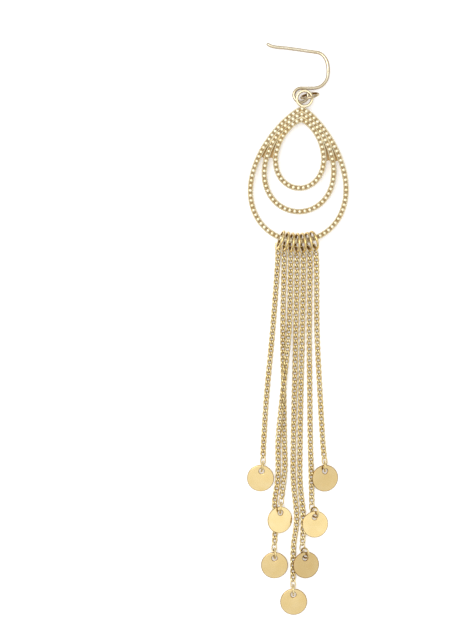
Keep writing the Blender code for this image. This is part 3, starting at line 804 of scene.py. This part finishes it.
class EARRING_OT_ear_wire(bpy.types.Operator):
    """Make the bent ear wire with its eye and its hammered crown"""

    bl_idname = "earring.ear_wire"
    bl_label = "Ear wire"

    def execute(self, context):
        eye = [(-EYE_RADIUS * math.sin(turn), EYE_RADIUS * (math.cos(turn) - 1), 0)
               for turn in np.radians(np.linspace(0, EYE_TURN, EYE_STEPS))]
        bends = [(x * MM, y * MM, 0) for x, y in HOOK_BENDS]
        stops = even_points(smooth_line(bends + eye), HOOK_STEP)
        up = Vector((0, 0, 1))
        places = []
        for i, (stop, heading) in enumerate(zip(stops, np.gradient(stops, axis=0))):
            side = Vector(heading).normalized().cross(up)
            flat = math.exp(-((Vector(stop) - Vector(CROWN_FLAT)).length / CROWN_REACH) ** 2)
            full = min(1.0, TAIL_ROUND[0] + TAIL_ROUND[1] * i)
            places.append(axes_matrix(Vector(stop), side, up) @ Matrix.Diagonal(
                (full * (1 + CROWN_SPREAD * flat), full * (1 - CROWN_PRESS * flat), 1, 1)))
        bm = new_bmesh()
        sweep(bm, wire_outline(HOOK_WIRE, HOOK_SIDES, *HOOK_PAINTED_SHADE), places, closed=False)
        tail, crown = Vector(bends[0]), Vector(bends[HOOK_CROWN])
        place = (layout_shift() @ Matrix.Translation(eye_places()[0])
                 @ Matrix.Rotation(-math.radians(HOOK_BACK_SLOPE), 4, (crown - tail).normalized())
                 @ Matrix.Translation((0, EYE_RADIUS, 0)))
        bmesh.ops.transform(bm, matrix=place, verts=bm.verts)
        set_piece("ear_wire", close_mesh(bm, "ear_wire"), "wire_gold", finish_named("ear_wire_gold"), "ear_hook")
        return {"FINISHED"}


class EARRING_OT_connecting_ring(bpy.types.Operator):
    """Make the ring that joins the ear wire to the frame"""

    bl_idname = "earring.connecting_ring"
    bl_label = "Connecting ring"

    def execute(self, context):
        open_ring("connecting_ring", LINK_RING_RADIUS, LINK_RING_WIRE, ring_place("link_ring", (1, 0, 0)),
                  LINK_RING_SEAM, "wire_gold", finish_named("ear_wire_gold"), "link_ring")
        return {"FINISHED"}


class EARRING_OT_beaded_frame(bpy.types.Operator):
    """Make the three beaded teardrop loops, their solder and the ring on the tip"""

    bl_idname = "earring.beaded_frame"
    bl_label = "Beaded frame"

    def execute(self, context):
        sizes = context.scene.frame_sizes
        tip = LOOPS[0][1]
        lines = [teardrop(loop, tip - i * LOOP_TIP_STEP) for i, loop in enumerate(LOOPS)]
        bm = new_bmesh()
        for i, line in enumerate(lines):
            sweep(bm, strip_outline(sizes), strip_places(line, i * LOOP_DROP), closed=True)
        add_solder(bm, lines, sizes)
        top = Matrix.Translation((TOP_RING_OFFSET, top_ring_height(), 0))
        ring = [top @ place for place in ring_places(TOP_RING_RADIUS, 0, math.tau, TOP_RING_STEPS)[:-1]]
        sweep(bm, wire_outline(TOP_RING_WIRE, TOP_RING_SIDES, *TOP_RING_PAINTED_SHADE), ring, closed=True)
        for i, line in enumerate(lines):
            add_beads(bm, line, i * LOOP_DROP, sizes)
        bmesh.ops.transform(bm, matrix=layout_shift() @ frame_place(), verts=bm.verts)
        set_piece("beaded_frame", close_mesh(bm, "beaded_frame"), "frame_gold", finish_named("beaded_gold"),
                  "teardrop_frame")
        return {"FINISHED"}


class EARRING_OT_fringe_rings(bpy.types.Operator):
    """Make the seven rings that carry the chains"""

    bl_idname = "earring.fringe_rings"
    bl_label = "Fringe rings"

    def execute(self, context):
        first, step = CHAIN_RING_SEAM
        for number in STRANDS:
            open_ring(f"fringe_ring_{number}", CHAIN_RING_RADIUS - RING_TRIM, CHAIN_RING_WIRE - RING_TRIM,
                      ring_place(f"chain_ring_{number}", (0, -1, 0)), first + step * number,
                      "chain_gold", finish_named("ring_gold"), f"chain_ring_{number}")
        return {"FINISHED"}


class EARRING_OT_curb_chains(bpy.types.Operator):
    """Make the seven curb chains link by link"""

    bl_idname = "earring.curb_chains"
    bl_label = "Curb chains"

    def execute(self, context):
        for number in STRANDS:
            build_chain(number, context.scene.link_sizes, finish_named("fringe_gold"))
        return {"FINISHED"}


class EARRING_OT_drop_rings(bpy.types.Operator):
    """Make the small rings that hold the discs"""

    bl_idname = "earring.drop_rings"
    bl_label = "Drop rings"

    def execute(self, context):
        first, step = DISC_RING_SEAM
        for number in STRANDS:
            open_ring(f"drop_ring_{number}", DISC_RING_RADIUS, DISC_RING_WIRE,
                      ring_place(f"disc_ring_{number}", (0, 1, 0)), first + step * number,
                      "chain_gold", finish_named("fringe_gold"), f"disc_ring_{number}", steps=28, sides=10)
        return {"FINISHED"}


class EARRING_OT_discs(bpy.types.Operator):
    """Make the seven plain discs with softly rounded rims"""

    bl_idname = "earring.discs"
    bl_label = "Discs"

    def execute(self, context):
        for number, tone in zip(STRANDS, DISC_PAINTED_SHADES):
            bm = new_bmesh()
            rim = bmesh.ops.create_circle(bm, segments=DISC_SEGMENTS, radius=DISC_RADIUS - DISC_TRIM)["verts"]
            hole = bmesh.ops.create_circle(
                bm, segments=HOLE_SEGMENTS, radius=HOLE_RADIUS,
                matrix=Matrix.Translation((0, DISC_RADIUS - HOLE_INSET, 0)))["verts"]
            bmesh.ops.triangle_fill(bm, use_beauty=True, edges=bm.edges[:])
            bmesh.ops.translate(bm, verts=rim + hole, vec=(0, 0, -DISC_THICK / 2))
            grown = bmesh.ops.extrude_face_region(bm, geom=bm.faces[:])["geom"]
            bmesh.ops.translate(bm, verts=only_verts(grown), vec=(0, 0, DISC_THICK))
            corners = [edge for edge in bm.edges if edge.calc_face_angle(0) > CORNER_ANGLE]
            bmesh.ops.bevel(bm, geom=corners, offset=DISC_ROUNDING, affect="EDGES", segments=ROUNDING_BANDS,
                            profile=0.5, material=-1)
            hollow = bm.verts.layers.float["hollow"]
            face_height = DISC_THICK / 2 - DISC_ROUNDING * FACE_MARGIN
            # painted shade over each disc, and more at its rim
            for vert in bm.verts:
                vert[hollow] = tone + (RIM_PAINTED_SHADE if abs(vert.co.z) < face_height else 0.0)
            mesh = close_mesh(bm, f"disc_drop_{number}", sharp=DISC_SHARP)
            mesh.transform(disc_place(f"disc_{number}"))
            set_piece(f"disc_drop_{number}", mesh, "disc_gold", finish_named("drop_gold"), f"disc_{number}")
        return {"FINISHED"}


class EARRING_OT_stage(bpy.types.Operator):
    """Set the pale floor, the soft light and the camera straight above"""

    bl_idname = "earring.stage"
    bl_label = "Stage"

    def execute(self, context):
        scene = context.scene
        self.lay_floor(scene)
        self.light_sky(scene)
        self.hang_lamp(scene)
        shift = layout_shift().translation
        lens = bpy.data.cameras.new("camera")
        lens.sensor_width = SENSOR
        lens.lens = SENSOR * CAMERA_HEIGHT / VIEW_HIGH
        lens.clip_end = CAMERA_REACH
        camera = bpy.data.objects.new("camera", lens)
        camera.location = (VIEW_MIDDLE[0] + shift.x, VIEW_MIDDLE[1] + shift.y, CAMERA_HEIGHT)
        scene.collection.objects.link(camera)
        scene.camera = camera
        scene.view_settings.view_transform = "Standard"
        return {"FINISHED"}

    def lay_floor(self, scene):
        """A pale, faintly lit floor."""
        bm = bmesh.new()
        bmesh.ops.create_grid(bm, x_segments=1, y_segments=1, size=FLOOR_SIZE / 2,
                              matrix=Matrix.Translation((0, 0, -FLOOR_DROP)))
        mesh = bpy.data.meshes.new("floor")
        bm.to_mesh(mesh)
        bm.free()
        floor = bpy.data.objects.new("floor", mesh)
        scene.collection.objects.link(floor)
        mesh.materials.append(Finish("white_floor").shade(
            Base_Color=FLOOR_WHITE, Roughness=FLOOR_ROUGHNESS, Emission_Color=(1, 1, 1, 1),
            Emission_Strength=FLOOR_GLOW))

    def light_sky(self, scene):
        """A soft sky, bright overhead and dimmer towards the horizon."""
        world = bpy.data.worlds.new("studio")
        scene.world = world
        world.use_nodes = True
        tree = world.node_tree
        where = tree.nodes.new("ShaderNodeTexCoord")
        height = tree.nodes.new("ShaderNodeSeparateXYZ")
        ramp = tree.nodes.new("ShaderNodeValToRGB")
        set_stops(ramp.color_ramp, [(position, [bright] * 3) for position, bright in SKY])
        tree.links.new(where.outputs["Generated"], height.inputs[0])
        tree.links.new(height.outputs["Z"], ramp.inputs["Fac"])
        tree.links.new(ramp.outputs["Color"], tree.nodes["Background"].inputs["Color"])
        tree.nodes["Background"].inputs["Strength"].default_value = SKY_STRENGTH

    def hang_lamp(self, scene):
        """One wide round lamp overhead, to the left and turned to the earring."""
        lamp = bpy.data.lights.new("overhead_light", "AREA")
        lamp.shape = "ELLIPSE"
        lamp.size = lamp.size_y = LAMP_SIZE
        lamp.energy = LAMP_POWER
        holder = bpy.data.objects.new("overhead_light", lamp)
        holder.location = LAMP_PLACE
        holder.rotation_euler = (-Vector(LAMP_PLACE)).to_track_quat("-Z", "Y").to_euler()
        scene.collection.objects.link(holder)


class EARRING_PT_panel(bpy.types.Panel):
    """The earring's pieces, sizes and colours"""

    bl_idname = "EARRING_PT_panel"
    bl_label = "Fringe earring"
    bl_space_type = "VIEW_3D"
    bl_region_type = "UI"
    bl_category = "Earring"

    def draw(self, context):
        for group in (context.scene.frame_sizes, context.scene.link_sizes, context.scene.gold_looks):
            box = self.layout.box()
            for name in group.__annotations__:
                box.prop(group, name)
        for operator in OPERATORS:
            self.layout.operator(operator.bl_idname)


OPERATORS = (EARRING_OT_ear_wire, EARRING_OT_connecting_ring, EARRING_OT_beaded_frame,
             EARRING_OT_fringe_rings, EARRING_OT_curb_chains, EARRING_OT_drop_rings, EARRING_OT_discs,
             EARRING_OT_stage)
CLASSES = (FrameSizes, LinkSizes, GoldLooks, *OPERATORS, EARRING_PT_panel)


def register():
    for made in CLASSES:
        bpy.utils.register_class(made)
    bpy.types.Scene.frame_sizes = PointerProperty(type=FrameSizes)
    bpy.types.Scene.link_sizes = PointerProperty(type=LinkSizes)
    bpy.types.Scene.gold_looks = PointerProperty(type=GoldLooks)


def unregister():
    del bpy.types.Scene.frame_sizes
    del bpy.types.Scene.link_sizes
    del bpy.types.Scene.gold_looks
    for made in reversed(CLASSES):
        bpy.utils.unregister_class(made)


def main():
    register()
    for operator in OPERATORS:
        group, name = operator.bl_idname.split(".")
        getattr(getattr(bpy.ops, group), name)()


if __name__ == "__main__":
    main()
